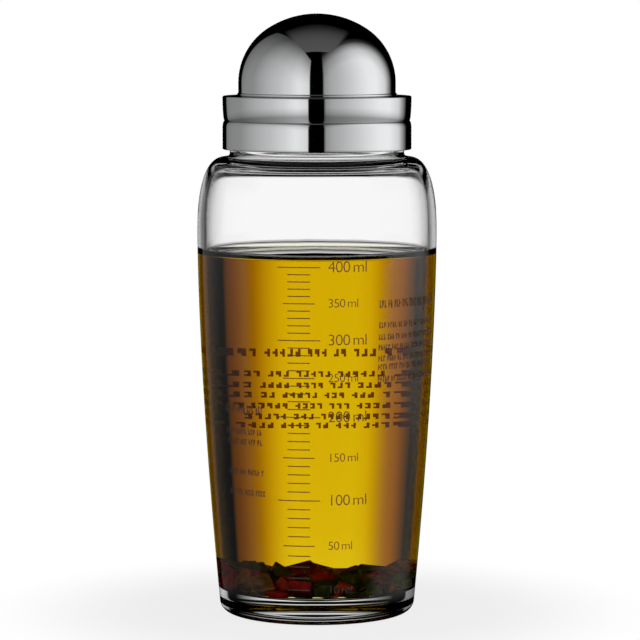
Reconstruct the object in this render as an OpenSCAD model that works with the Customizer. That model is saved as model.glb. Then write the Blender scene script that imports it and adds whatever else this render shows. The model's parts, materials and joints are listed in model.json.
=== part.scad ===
// Dressing shaker bottle: a glass carafe with a volume scale, closed by a push-fit
// collar with a strainer and by a domed steel cap. It stands on its base at z = 0,
// the axis is z, and the volume scale faces -y.

/* [Glass] */
// Widest outside diameter of the glass body
body_d = 79.7; // [70:0.1:95]
// Height at which the glass is widest
belly_z = 127; // [110:0.5:145]
// Outside diameter at the table, before the edge is rounded
foot_d = 64.6; // [55:0.1:75]
// How soon the side straightens on its way up
side_curve = 1.58; // [1.2:0.01:2]
// Height from the widest point up to the top of the shoulder
shoulder_h = 25.5; // [18:0.1:32]
// Squareness of the shoulder, where 2 is an ellipse
shoulder_power = 2.45; // [2:0.05:3.2]
// Thickness of the side wall
wall = 2.8; // [2:0.1:4]
// Height of the inside floor above the table
floor_z = 8.1; // [6:0.1:14]
// Extra thickness of the wall at the inside floor
heel_extra = 2.6; // [1:0.1:5]
// Height over which that extra thickness runs out
heel_extra_h = 20; // [12:0.5:30]
// Radius of the outside edge at the table
heel_radius = 4; // [3:0.1:6]
// Radius of the inside edge at the floor
floor_radius = 2.5; // [1:0.1:4]
// Depth of the dish under the base
punt_h = 2; // [1:0.1:3.5]
// Width of the ring that touches the table
foot_ring_w = 3; // [2:0.1:5]

/* [Neck] */
// Outside diameter of the neck
neck_d = 58; // [52:0.1:62]
// Thickness of the neck wall
neck_wall = 3.2; // [2.4:0.1:4]
// Height of the neck above the shoulder
neck_h = 12.5; // [11.6:0.1:18]
// Radius between the shoulder and the neck
neck_fillet = 1.4; // [1:0.1:3]
// Radius of the two edges of the rim
rim_radius = 1; // [0.5:0.1:1.4]

/* [Contents and scale] */
// Volume of dressing in the bottle, in millilitres
fill_ml = 417; // [200:1:430]
// Largest volume on the scale, in millilitres
scale_max_ml = 400; // [100:50:400]
// Volume between two lines of the scale, in millilitres
scale_step_ml = 10; // [10:10:50]
// Length of the lines at each 100 ml
long_line = 14; // [8:0.1:20]
// Length of the lines at each 50 ml
middle_line = 10.4; // [6:0.1:16]
// Length of the other lines
short_line = 7.4; // [4:0.1:12]
// Width of each line
line_w = 0.35; // [0.2:0.05:0.8]
// Thickness of the enamel
enamel_t = 0.1; // [0.06:0.01:0.3]
// Distance of the scale's middle from the front centre
scale_x = -5.9; // [-10:0.1:10]
// Length of a vegetable dice
dice_l = 5.2; // [3:0.1:6]
// Width of a vegetable dice
dice_w = 4.6; // [3:0.1:6]
// Thickness of a vegetable dice
dice_t = 2.8; // [1.5:0.1:3.5]
// Steepest tilt of a vegetable dice, in degrees
dice_tilt = 12; // [0:1:20]
// Number of layers of vegetable dice on the floor
dice_layers = 3; // [1:1:4]
// Share of the places in the top layer that hold a dice
dice_top_share = 0.4; // [0.1:0.05:1]

/* [Collar] */
// Gap between the shoulder and the steel collar
shoulder_gap = 2.5; // [1:0.1:4]
// Running clearance of the collar around the neck
neck_clearance = 0.15; // [0.1:0.05:0.4]
// Thickness of the plastic skirt around the neck
skirt_t = 0.85; // [0.6:0.05:2]
// Thickness of the two steel rings at their widest
ring_t = 1.4; // [0.9:0.05:2]
// Depth of the waist between the two steel rings
waist_depth = 0.65; // [0.2:0.05:0.75]
// Height of the lower steel ring
lower_ring_h = 9.5; // [7:0.1:10.8]
// Height of the upper steel ring
upper_ring_h = 8.2; // [7:0.1:12]
// Height of the shoulder at the top of the lower ring
ring_shoulder_h = 2.3; // [1:0.1:4]
// Gap between the two steel rings
seam_gap = 0.1; // [0.05:0.05:0.4]
// Thickness of the steel on top of the upper ring and at its lip
lip_t = 0.6; // [0.4:0.05:1]
// Radius of the upper ring's top edge
ring_edge_radius = 0.4; // [0.3:0.1:1.2]
// Length of the lip that turns down into the pouring well
lip_h = 3.7; // [2:0.1:4.2]

/* [Plug and seals] */
// Gap between the neck bore and the plug tube
plug_gap = 1; // [0.8:0.05:1.4]
// Wall of the plug tube
tube_wall = 1.7; // [1.4:0.1:2.2]
// Length of the plug tube below the rim
tube_h = 8; // [7.4:0.1:11]
// How much wider the pouring well is than the tube below it, on the radius
well_step = 0.9; // [0.4:0.1:1]
// Width of the shelf that stops the strainer
shelf_w = 1.4; // [0.8:0.1:2]
// Thickness of the shelf
shelf_t = 1.2; // [0.8:0.1:1.2]
// Thickness of the gasket on the rim
gasket_t = 1.2; // [0.8:0.1:2]
// Clearance of the seal lamellae in the neck
seal_clearance = 0.1; // [0.05:0.05:0.3]
// Number of seal lamellae
lamella_count = 3; // [2:1:3]

/* [Strainer] */
// Thickness of the perforated plate
plate_t = 0.6; // [0.4:0.1:1]
// Diameter of the holes in the plate
strainer_hole_d = 2.2; // [1.2:0.1:2.8]
// Distance between the holes
strainer_pitch = 3.8; // [3.4:0.1:6]
// Height of the frame under the plate
strainer_frame_h = 5.4; // [3:0.1:6]
// Width of the frame
strainer_frame_w = 2; // [1.6:0.1:4]
// Clearance of the strainer in the plug tube
strainer_clearance = 0.1; // [0.05:0.05:0.3]

/* [Cap] */
// Width of the ring face that the dome's foot rests on
seat_w = 1.55; // [1:0.05:2.5]
// Height at which the side of the dome starts to curve in
dome_spring_h = 4.3; // [1:0.1:8]
// Radius of the curve at the side of the dome
dome_side_radius = 21.5; // [16:0.1:25]
// How far the crown rises above a quarter circle of that radius
crown_rise = 1.4; // [0.4:0.1:6]
// Thickness of the steel dome
dome_t = 0.8; // [0.5:0.1:1.2]
// How far the rolled foot stands out from the dome
bead_out = 0.4; // [0.2:0.05:0.6]
// Height of the rolled foot
bead_h = 1; // [0.7:0.1:1.2]
// Gap between the cap's plug and the pouring well
cap_plug_gap = 0.6; // [0.4:0.05:1]
// How far the cap's plug reaches into the well
cap_plug_h = 6.7; // [5.5:0.1:6.9]
// Wall of the cap's plug
cap_plug_wall = 2.4; // [2:0.1:3.5]
// Height of the plug's upper part inside the dome
cap_plug_top_h = 5; // [3:0.1:8]
// Clearance of the cap's seal in the well
cap_seal_clearance = 0.05; // [0.02:0.01:0.15]
// Thickness of the cap's seal
cap_seal_d = 1.5; // [1.2:0.1:1.7]
// Depth of the cap's seal below the top of the collar
cap_seal_depth = 4.9; // [2:0.1:5.2]

/* [Hidden] */
$fn = 96;

// Glass, from the table up
body_r = body_d / 2;
foot_r = foot_d / 2;
neck_r = neck_d / 2;
bore_r = neck_r - neck_wall;
shoulder_z = belly_z + shoulder_h;
rim_z = shoulder_z + neck_h;
shoulder_end_r = neck_r + neck_fillet;
// The inside of the neck's root has the same centre as the outside
bore_fillet = neck_wall + neck_fillet;
inner_shoulder_end_r = bore_r + bore_fillet;
inner_shoulder_z = shoulder_z - wall;
// The inside is drawn with this many steps from the rounded floor edge to the widest point
cavity_steps = 28;
cavity_step = (belly_z - floor_z - floor_radius) / cavity_steps;
// The heel's arc ends where it points the same way as the side
heel_slope = (side_r(2 * heel_radius) - side_r(heel_radius)) / heel_radius;
heel_end_a = -atan(heel_slope);
heel_end_z = heel_radius * (1 + sin(heel_end_a));
heel_center_r = side_r(heel_end_z) - heel_radius * cos(heel_end_a);
punt_r = heel_center_r - foot_ring_w;
punt_sphere_r = (punt_r * punt_r + punt_h * punt_h) / (2 * punt_h);

// Volume held below each height, for the scale and the oil's level
slice_h = 0.5;
headroom = 4;
fill_table = [
    for (z = floor_z, v = 0; z < inner_shoulder_z - headroom;
         v = v + PI * pow(cavity_r(z + slice_h / 2), 2) * slice_h / 1000, z = z + slice_h)
        [v, z]
];
oil_z = lookup(fill_ml, fill_table);

// Collar, from the neck outwards and from the lower ring up
skirt_in_r = neck_r + neck_clearance;
ring_in_r = skirt_in_r + skirt_t;
ring_r = ring_in_r + ring_t;
waist_r = ring_r - waist_depth;
collar_z = shoulder_z + shoulder_gap;
seam_z = collar_z + lower_ring_h;
collar_top_z = seam_z + upper_ring_h;
skirt_inset = 0.6;
deck_z = rim_z + gasket_t;
tube_r = bore_r - plug_gap;
tube_in_r = tube_r - tube_wall;
tube_z = rim_z - tube_h;
well_r = tube_in_r + well_step;
well_floor_z = rim_z + 0.2;
shelf_z = well_floor_z - shelf_t;
seal_groove = 0.8;
seal_z = tube_z + 1.3;
lamella_pitch = 1.6;
seal_h = lamella_count * lamella_pitch;

// Strainer, under the shelf
strainer_r = tube_in_r - strainer_clearance;
plate_z = shelf_z - plate_t;
hole_margin = 1;

// Cap, from the well outwards
lip_r = well_r + lip_t;
dome_r = lip_r + seat_w;
bead_r = dome_r + bead_out;
dome_in_r = dome_r - dome_t;
spring_z = collar_top_z + dome_spring_h;
dome_top_z = spring_z + dome_side_radius + crown_rise;
side_center_r = dome_r - dome_side_radius;
// The top arc is centred on the axis and meets the side arc smoothly
crown_extra_r = (side_center_r * side_center_r + crown_rise * crown_rise) / (2 * crown_rise);
crown_radius = dome_side_radius + crown_extra_r;
crown_center_z = dome_top_z - crown_radius;
meet_a = atan2(spring_z - crown_center_z, side_center_r);
// The foot's round edge ends where it meets the side of the dome
bead_end_a = acos(1 - 2 * bead_out / bead_h);
cap_plug_r = well_r - cap_plug_gap;
cap_plug_in_r = cap_plug_r - cap_plug_wall;
cap_plug_rest_gap = 0.2;
cap_seal_z = collar_top_z - cap_seal_depth;
cap_seal_center_r = well_r - cap_seal_clearance - cap_seal_d / 2;

// Vegetable dice lie in layers of a triangular grid, each turned and tilted its own way
dice_diagonal = sqrt(dice_l * dice_l + dice_w * dice_w);
dice_gap = 0.25;
dice_pitch = dice_diagonal + dice_gap;
dice_layer_h = dice_t * cos(dice_tilt) + dice_diagonal * sin(dice_tilt) + dice_gap;
dice_rows = ceil(2 * body_r / dice_pitch);
dice_places = [
    for (layer = [0 : dice_layers - 1], row = [-dice_rows : dice_rows], column = [-dice_rows : dice_rows])
        let (
            x = (column + row / 2 + layer / 3) * dice_pitch,
            y = (row + layer / 3) * dice_pitch * sqrt(3) / 2,
            z = floor_z + dice_gap + (layer + 0.5) * dice_layer_h
        )
        if (norm([x, y]) + dice_pitch / 2 < cavity_r(z - dice_layer_h / 2)
            && (layer < dice_layers - 1 || chance(row, column) < dice_top_share))
            [x, y, z]
];
dice_turns = rands(0, 1, 3 * len(dice_places), 11);

// An even draw from 0 to 1 for each place of a grid
function chance(row, column) =
    let (draw = 43758.5 * sin(13 * row + 78 * column)) draw - floor(draw);

// Outside radius of the side at a height up to the widest point
function side_r(z) =
    body_r - (body_r - foot_r) * pow(max(0, belly_z - z) / belly_z, side_curve);

// Share of the full width that a shoulder keeps at a share u of its height
function shoulder_share(u) = pow(1 - pow(min(1, u), shoulder_power), 1 / shoulder_power);

// Inside radius of the glass at a height from the floor to the shoulder
function cavity_r(z) =
    z > belly_z
        ? inner_shoulder_end_r + (body_r - wall - inner_shoulder_end_r)
            * shoulder_share((z - belly_z) / (inner_shoulder_z - belly_z))
        : side_r(z) - wall
            - heel_extra * (1 - pow(min(1, (z - floor_z) / heel_extra_h), 3))
            - floor_edge(z - floor_z);

// How far the rounded inside edge draws in at a height above the floor
function floor_edge(h) =
    h < floor_radius ? floor_radius - sqrt(pow(floor_radius, 2) - pow(floor_radius - h, 2)) : 0;

// Points on an arc, in degrees
function arc(center_r, center_z, radius, from_a, to_a, steps) = [
    for (i = [0 : steps])
        let (a = from_a + (to_a - from_a) * i / steps)
            [center_r + radius * cos(a), center_z + radius * sin(a)]
];

// Points on a rounded shoulder, from its widest height up
function shoulder_points(wide_r, end_r, low_z, top_z) = [
    for (a = [6 : 6 : 90])
        [
            end_r + (wide_r - end_r) * pow(cos(a), 2 / shoulder_power),
            low_z + (top_z - low_z) * pow(sin(a), 2 / shoulder_power)
        ]
];

// Outside of the glass from the middle of the base to the top of the neck
function outside_points() = concat(
    arc(0, punt_h - punt_sphere_r, punt_sphere_r, 90, 90 - asin(punt_r / punt_sphere_r), 8),
    arc(heel_center_r, heel_radius, heel_radius, -90, heel_end_a, 10),
    [for (i = [1 : 20]) let (z = heel_end_z + (belly_z - heel_end_z) * i / 20) [side_r(z), z]],
    shoulder_points(body_r, shoulder_end_r, belly_z, shoulder_z),
    arc(shoulder_end_r, shoulder_z + neck_fillet, neck_fillet, -90, -180, 6)
);

// Inside of the glass from the middle of the floor up to a height below the shoulder
function low_cavity_points(top_z) = concat(
    [[0, floor_z]],
    [for (a = [0 : 15 : 75]) let (z = floor_z + floor_radius * (1 - cos(a))) [cavity_r(z), z]],
    [for (i = [0 : cavity_steps - 1])
        let (z = floor_z + floor_radius + i * cavity_step)
            if (z < top_z - cavity_step / 4) [cavity_r(z), z]]
);

module revolve(points) {
    rotate_extrude() polygon(points);
}

module glass_body() {
    color("#dfe6e4", 0.4)
        revolve(concat(
            outside_points(),
            arc(neck_r - rim_radius, rim_z - rim_radius, rim_radius, 0, 90, 6),
            arc(bore_r + rim_radius, rim_z - rim_radius, rim_radius, 90, 180, 6),
            arc(inner_shoulder_end_r, inner_shoulder_z + bore_fillet, bore_fillet, -180, -90, 8),
            [for (a = [84 : -6 : 6])
                [
                    inner_shoulder_end_r + (body_r - wall - inner_shoulder_end_r)
                        * pow(cos(a), 2 / shoulder_power),
                    belly_z + (inner_shoulder_z - belly_z) * pow(sin(a), 2 / shoulder_power)
                ]],
            [[body_r - wall, belly_z]],
            reversed(low_cavity_points(belly_z))
        ));
}

function reversed(points) = [for (i = [len(points) - 1 : -1 : 0]) points[i]];

// One line of the scale, laid on the outside of the glass
module scale_line(volume) {
    z = lookup(volume, fill_table);
    length = volume % 100 == 0 ? long_line : volume % 50 == 0 ? middle_line : short_line;
    span = length / side_r(z) * 180 / PI;
    low = z - line_w / 2;
    high = z + line_w / 2;
    rotate([0, 0, -90 + asin(scale_x / side_r(z)) - span / 2])
        rotate_extrude(angle = span)
            polygon([
                [side_r(low), low], [side_r(low) + enamel_t, low],
                [side_r(high) + enamel_t, high], [side_r(high), high]
            ]);
}

module volume_marks() {
    color("#8c8273")
        for (volume = [scale_step_ml : scale_step_ml : scale_max_ml])
            scale_line(volume);
}

// The oil fills the cavity up to its level, apart from the vegetable dice
module dressing_oil() {
    color("#c99a10", 0.7)
        difference() {
            revolve(concat(low_cavity_points(oil_z), [[cavity_r(oil_z), oil_z], [0, oil_z]]));
            dice(0, 1);
        }
}

// Every dice whose place counts to kind in each round of kinds
module dice(kind, kinds) {
    for (i = [0 : len(dice_places) - 1])
        if (i % kinds == kind)
            translate(dice_places[i])
                rotate([
                    (2 * dice_turns[3 * i] - 1) * dice_tilt / 2,
                    (2 * dice_turns[3 * i + 1] - 1) * dice_tilt / 2,
                    360 * dice_turns[3 * i + 2]
                ])
                    cube([dice_l, dice_w, dice_t], center = true);
}

module red_pepper_dice() {
    color("#8c1c12") {
        dice(0, 5);
        dice(2, 5);
    }
}

module green_pepper_dice() {
    color("#3d4a1c") {
        dice(1, 5);
        dice(3, 5);
    }
}

module onion_dice() {
    color("#b58a3a") dice(4, 5);
}

module neck_collar() {
    edge = 0.3;
    top_z = seam_z - seam_gap / 2;
    color("#d4d6d8")
        revolve(concat(
            [[ring_in_r, collar_z], [ring_r - edge, collar_z], [ring_r, collar_z + edge]],
            [for (a = [0 : 15 : 90])
                [waist_r + waist_depth * cos(a), top_z - ring_shoulder_h * (1 - sin(a))]],
            [[ring_in_r, top_z]]
        ));
}

module pour_ring() {
    low_z = seam_z + seam_gap / 2;
    flare_h = upper_ring_h - ring_edge_radius - seam_gap / 2;
    inner_edge = lip_t / 2;
    color("#d4d6d8")
        revolve(concat(
            [for (a = [0 : 15 : 90]) [waist_r + waist_depth * sin(a), low_z + flare_h * (1 - cos(a))]],
            arc(ring_r - ring_edge_radius, collar_top_z - ring_edge_radius, ring_edge_radius, 15, 90, 5),
            arc(well_r + inner_edge, collar_top_z - inner_edge, inner_edge, 90, 180, 4),
            [
                [well_r, collar_top_z - lip_h],
                [lip_r, collar_top_z - lip_h],
                [lip_r, collar_top_z - lip_t],
                [ring_in_r, collar_top_z - lip_t],
                [ring_in_r, low_z]
            ]
        ));
}

module collar_core() {
    skirt_z = collar_z + skirt_inset;
    color("#3a3c3e")
        revolve([
            [ring_in_r, skirt_z],
            [ring_in_r, collar_top_z - lip_t],
            [lip_r, collar_top_z - lip_t],
            [lip_r, collar_top_z - lip_h],
            [well_r, collar_top_z - lip_h],
            [well_r, well_floor_z],
            [tube_in_r - shelf_w, well_floor_z],
            [tube_in_r - shelf_w, shelf_z],
            [tube_in_r, shelf_z],
            [tube_in_r, tube_z],
            [tube_r, tube_z],
            [tube_r, seal_z],
            [tube_r - seal_groove, seal_z],
            [tube_r - seal_groove, seal_z + seal_h],
            [tube_r, seal_z + seal_h],
            [tube_r, deck_z],
            [skirt_in_r, deck_z],
            [skirt_in_r, skirt_z]
        ]);
}

// A silicone sleeve in the groove of the tube, with lamellae that bear on the neck
module neck_seal() {
    root_r = tube_r + 0.1;
    tip_r = bore_r - seal_clearance;
    tip_h = 0.3;
    root_h = 0.9;
    color("#c9cccd")
        revolve(concat(
            [[tube_r - seal_groove, seal_z], [root_r, seal_z]],
            [for (i = [0 : lamella_count - 1], corner = [
                    [root_r, (lamella_pitch - root_h) / 2],
                    [tip_r, lamella_pitch / 2 + tip_h / 2],
                    [tip_r, lamella_pitch / 2 + tip_h * 3 / 2],
                    [root_r, (lamella_pitch + root_h) / 2]
                ])
                [corner[0], seal_z + i * lamella_pitch + corner[1]]],
            [[root_r, seal_z + seal_h], [tube_r - seal_groove, seal_z + seal_h]]
        ));
}

module rim_gasket() {
    edge = 0.2;
    color("#c9cccd")
        revolve([
            [tube_r, rim_z],
            [neck_r - edge, rim_z],
            [neck_r - edge, deck_z],
            [tube_r, deck_z]
        ]);
}

module strainer_frame() {
    bevel = 0.5;
    low_z = plate_z - strainer_frame_h;
    color("#3a3c3e")
        revolve([
            [strainer_r - strainer_frame_w, low_z + bevel],
            [strainer_r - strainer_frame_w + bevel, low_z],
            [strainer_r - bevel, low_z],
            [strainer_r, low_z + bevel],
            [strainer_r, plate_z],
            [strainer_r - strainer_frame_w, plate_z]
        ]);
}

module strainer_plate() {
    field_r = strainer_r - max(strainer_frame_w, shelf_w) - strainer_hole_d / 2 - hole_margin / 2;
    rows = ceil(field_r / strainer_pitch) + 1;
    color("#c4c7c9")
        difference() {
            translate([0, 0, plate_z]) cylinder(r = strainer_r, h = plate_t);
            for (row = [-rows : rows], column = [-2 * rows : 2 * rows]) {
                x = (column + row / 2) * strainer_pitch;
                y = row * strainer_pitch * sqrt(3) / 2;
                if (norm([x, y]) <= field_r)
                    translate([x, y, plate_z - hole_margin])
                        cylinder(d = strainer_hole_d, h = plate_t + 2 * hole_margin, $fn = 24);
            }
        }
}

// Outline of the dome at a depth below its outside face, from the side up to the axis
function dome_points(depth) = concat(
    arc(side_center_r, spring_z, dome_side_radius - depth, 0, meet_a, 12),
    arc(0, crown_center_z, crown_radius - depth, meet_a, 90, 8)
);

module dome_shell() {
    color("#d4d6d8")
        revolve(concat(
            [[dome_in_r, collar_top_z]],
            arc(bead_r - bead_h / 2, collar_top_z + bead_h / 2, bead_h / 2, -90, bead_end_a, 8),
            dome_points(0),
            reversed(dome_points(dome_t))
        ));
}

module cap_plug() {
    low_z = collar_top_z - cap_plug_h;
    groove_r = cap_seal_center_r - cap_seal_d / 2;
    bevel = 0.6;
    color("#3a3c3e")
        revolve([
            [cap_plug_in_r, low_z],
            [cap_plug_r - bevel, low_z],
            [cap_plug_r, low_z + bevel],
            [cap_plug_r, cap_seal_z - cap_seal_d / 2],
            [groove_r, cap_seal_z - cap_seal_d / 2],
            [groove_r, cap_seal_z + cap_seal_d / 2],
            [cap_plug_r, cap_seal_z + cap_seal_d / 2],
            [cap_plug_r, collar_top_z + cap_plug_rest_gap],
            [dome_in_r, collar_top_z + cap_plug_rest_gap],
            [dome_in_r, min(collar_top_z + cap_plug_top_h, spring_z)],
            [cap_plug_in_r, min(collar_top_z + cap_plug_top_h, spring_z)]
        ]);
}

module cap_seal() {
    color("#c9cccd")
        rotate_extrude()
            translate([cap_seal_center_r, cap_seal_z]) circle(d = cap_seal_d, $fn = 32);
}

glass_body();
volume_marks();
dressing_oil();
red_pepper_dice();
green_pepper_dice();
onion_dice();
neck_collar();
pour_ring();
collar_core();
neck_seal();
rim_gasket();
strainer_frame();
strainer_plate();
dome_shell();
cap_plug();
cap_seal();
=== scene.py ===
"""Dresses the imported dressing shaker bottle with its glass, oil, vegetable dice, print, steel,
plastic and seals."""

import json
import math
import random

import bpy
from bpy.props import FloatProperty, FloatVectorProperty, IntProperty, PointerProperty
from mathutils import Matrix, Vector

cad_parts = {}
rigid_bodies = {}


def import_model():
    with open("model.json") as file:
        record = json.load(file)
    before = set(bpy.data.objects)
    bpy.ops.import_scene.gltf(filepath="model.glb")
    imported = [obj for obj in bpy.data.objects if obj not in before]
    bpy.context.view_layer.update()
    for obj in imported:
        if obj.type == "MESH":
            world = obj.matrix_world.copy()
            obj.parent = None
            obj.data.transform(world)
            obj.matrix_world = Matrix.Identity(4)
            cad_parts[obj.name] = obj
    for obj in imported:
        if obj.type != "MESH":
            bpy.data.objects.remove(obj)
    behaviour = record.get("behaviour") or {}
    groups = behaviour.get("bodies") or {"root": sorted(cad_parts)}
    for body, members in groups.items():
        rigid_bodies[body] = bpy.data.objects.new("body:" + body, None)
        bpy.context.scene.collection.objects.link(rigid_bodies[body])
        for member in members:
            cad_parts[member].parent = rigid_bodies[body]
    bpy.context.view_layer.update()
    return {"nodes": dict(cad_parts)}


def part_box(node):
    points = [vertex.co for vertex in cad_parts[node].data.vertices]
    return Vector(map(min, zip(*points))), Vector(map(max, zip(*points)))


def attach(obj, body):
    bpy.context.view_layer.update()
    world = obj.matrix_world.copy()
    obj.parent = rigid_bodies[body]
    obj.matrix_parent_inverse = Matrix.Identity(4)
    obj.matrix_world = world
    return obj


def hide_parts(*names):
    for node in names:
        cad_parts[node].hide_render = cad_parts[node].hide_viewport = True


bl_info = {
    "name": "Dressing Shaker Bottle",
    "version": (1, 0, 0),
    "blender": (4, 5, 0),
    "location": "View3D > Sidebar > Dressing Shaker",
    "description": "Models the visible pieces of a dressing shaker bottle around its packed frame",
    "category": "Object",
}

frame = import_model()
NODE_BOXES = {name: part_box(name) for name in frame["nodes"]}

MM = 0.001
DEG = math.pi / 180
# Steps of a turn round the bottle's axis, of which clear pieces need more
TURN_STEPS = 144
CLEAR_TURN_STEPS = 180
# Steps up the inside of the glass, which the oil's face follows
CAVITY_STEPS = 40
# Points of a mesh closer than this are one
WELD = 0.002 * MM
GLASS_IOR = 1.5
OIL_IOR = 1.47
# Gap between the glass and the print, which keeps their faces apart
PRINT_GAP = 0.03 * MM
# Attribute that is 1 on the oil's free surface
FREE_SURFACE = "free_surface"


def low(node):
    """Lowest corner of a CAD node's box."""
    return NODE_BOXES[node][0]


def high(node):
    """Highest corner of a CAD node's box."""
    return NODE_BOXES[node][1]


def length(name, description, default):
    """A property that holds a length."""
    return FloatProperty(name=name, description=description, default=default, unit="LENGTH", precision=5)


def linear(hex_colour):
    """Linear red, green and blue of an sRGB hex colour."""
    shares = [int(hex_colour[i:i + 2], 16) / 255 for i in (1, 3, 5)]
    return [s / 12.92 if s <= 0.04045 else ((s + 0.055) / 1.055) ** 2.4 for s in shares]


def colour(name, description, hex_colour):
    """A property that holds a colour, given as sRGB hex."""
    return FloatVectorProperty(
        name=name, description=description, default=linear(hex_colour), subtype="COLOR", min=0, max=1
    )


# Settings


class ShakerGlass(bpy.types.PropertyGroup):
    """Sizes of the glass carafe"""

    belly_z: length("Belly height", "Height at which the glass is widest", 127 * MM)
    foot_r: length("Foot radius", "Outside radius at the table, before the edge is rounded", 32.3 * MM)
    side_curve: FloatProperty(
        name="Side curve", description="How soon the side straightens on its way up", default=1.58
    )
    shoulder_h: length("Shoulder height", "From the widest point to the top of the shoulder", 25.5 * MM)
    shoulder_power: FloatProperty(
        name="Shoulder power", description="Squareness of the shoulder, where 2 is an ellipse",
        default=2.45,
    )
    wall: length("Wall", "Thickness of the side wall", 2.8 * MM)
    heel_extra: length("Heel thickening", "Extra thickness of the wall at the inside floor", 2.6 * MM)
    heel_extra_h: length("Heel height", "Height over which that extra thickness runs out", 20 * MM)
    heel_radius: length("Heel radius", "Radius of the outside edge at the table", 4 * MM)
    floor_radius: length("Floor radius", "Radius of the inside edge at the floor", 2.5 * MM)
    punt_h: length("Punt", "Depth of the dish under the base", 2 * MM)
    foot_ring_w: length("Foot ring", "Width of the ring that touches the table", 3 * MM)
    neck_r: length("Neck radius", "Outside radius of the neck", 29 * MM)
    neck_wall: length("Neck wall", "Thickness of the neck wall", 3.2 * MM)
    neck_fillet: length("Neck fillet", "Radius between the shoulder and the neck", 1.4 * MM)
    rim_radius: length("Rim radius", "Radius of the two edges of the rim", 1 * MM)


class ShakerDressing(bpy.types.PropertyGroup):
    """The oil's edge, and how the dice are cut and lie"""

    lap: length("Lap", "How far the oil's surface lies inside the glass wall", 0.12 * MM)
    capillary: length("Capillary length", "Root of the oil's surface tension over weight", 1.75 * MM)
    growth: FloatProperty(name="Dice growth", description="Size of dice over CAD blocks", default=1.3)
    smallest: FloatProperty(name="Smallest", description="Least size over the usual", default=0.75)
    largest: FloatProperty(name="Largest", description="Greatest size over the usual", default=1.3)
    settling: FloatProperty(name="Settling", description="Heap's height over the CAD's", default=0.55)
    tilt: FloatProperty(
        name="Dice tilt", description="Largest tilt about each axis", default=35 * DEG, subtype="ANGLE"
    )
    unevenness: length("Dice unevenness", "How far a corner of a dice may stray", 0.9 * MM)
    seed: IntProperty(name="Seed", description="Draws the tilts and sizes of the dice", default=3)


class ShakerPrint(bpy.types.PropertyGroup):
    """Sizes of the print on the glass"""

    numeral_x: length("Numeral start", "Distance of the numerals from the front centre", 3.5 * MM)
    hundreds_h: length("Hundreds", "Height of the numerals at each 100 ml", 2.75 * MM)
    fifties_h: length("Fifties", "Height of the other numerals", 2.15 * MM)
    spacing: FloatProperty(
        name="Spacing", description="Distance of the numerals from each other", default=0.93
    )
    enamel_t: length("Enamel", "Thickness of the print on the glass", 0.06 * MM)
    row_h: length("Row height", "Height of a row of the ruled print", 1.9 * MM)
    title_h: length("Title height", "Height of the first row of a block", 2.6 * MM)
    stroke: length("Stroke", "Width of a stroke of the ruled print", 0.32 * MM)
    seed: IntProperty(name="Seed", description="Draws the strokes of the ruled print", default=4)


class ShakerSteel(bpy.types.PropertyGroup):
    """Sizes of the steel rings and the dome"""

    inner_r: length("Ring bore", "Inside radius of the steel rings", 30 * MM)
    waist_depth: length("Waist", "Depth of the waist between the two rings", 0.65 * MM)
    shoulder_h: length("Ring shoulder", "Height of the shoulder at the top of the lower ring", 2.3 * MM)
    edge_radius: length("Top edge", "Radius of the upper ring's top edge", 0.4 * MM)
    sheet_t: length("Sheet", "Thickness of the steel on top of the upper ring and at its lip", 0.6 * MM)
    well_r: length("Well radius", "Inside radius of the pouring well", 24 * MM)
    lip_h: length("Lip", "Length of the lip that turns down into the pouring well", 3.7 * MM)
    dome_t: length("Dome thickness", "Thickness of the steel dome", 0.8 * MM)
    bead_out: length("Foot bead", "How far the rolled foot stands out from the dome", 0.4 * MM)
    bead_h: length("Foot bead height", "Height of the rolled foot", 1 * MM)
    side_radius: length("Dome side", "Radius of the curve at the side of the dome", 21.5 * MM)
    crown_rise: length("Crown", "How far the crown rises above a quarter circle", 1.4 * MM)


class ShakerPlastic(bpy.types.PropertyGroup):
    """Sizes of the moulded pieces and the seals"""

    skirt_t: length("Skirt", "Thickness of the skirt around the neck", 0.85 * MM)
    skirt_rise: length("Skirt rise", "Height of the skirt's edge above the steel's edge", 0.6 * MM)
    tube_wall: length("Tube wall", "Wall of the plug tube", 1.7 * MM)
    tube_h: length("Tube", "Length of the plug tube below the rim", 8 * MM)
    shelf_w: length("Shelf", "Width of the shelf that stops the strainer", 1.4 * MM)
    shelf_t: length("Shelf thickness", "Thickness of that shelf", 1.2 * MM)
    groove: length("Seal groove", "Depth of the groove for the neck seal", 0.8 * MM)
    lamella_root: length("Lamella root", "Thickness of a lamella where it meets the seal", 0.9 * MM)
    lamella_tip: length("Lamella tip", "Thickness of a lamella at its tip", 0.3 * MM)
    strainer_gap: length("Strainer gap", "Gap round the strainer in the plug tube", 0.1 * MM)
    frame_w: length("Strainer frame", "Width of the strainer's frame", 2 * MM)
    plug_wall: length("Cap plug wall", "Wall of the cap's plug", 2.4 * MM)
    plug_gap: length("Cap plug gap", "Gap between the cap's plug and the pouring well", 0.6 * MM)
    edge: length("Edge", "Radius of the moulded edges", 0.2 * MM)


class ShakerStudio(bpy.types.PropertyGroup):
    """Place of the camera, and size of the floor"""

    distance: length("Distance", "From the camera to the point that it looks at", 1127.6 * MM)
    tilt: FloatProperty(
        name="Tilt", description="How far the camera looks down", default=5.35 * DEG, subtype="ANGLE"
    )
    aim_x: length("Aim across", "Where the camera looks, to the right of the bottle's axis", 1.0 * MM)
    aim_z: length("Aim height", "Where the camera looks, above the table", 97.9 * MM)
    lens_mm: FloatProperty(name="Lens", description="Focal length in millimetres", default=189.84)
    floor_r: length("Floor", "Radius of the pale floor", 700 * MM)


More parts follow.
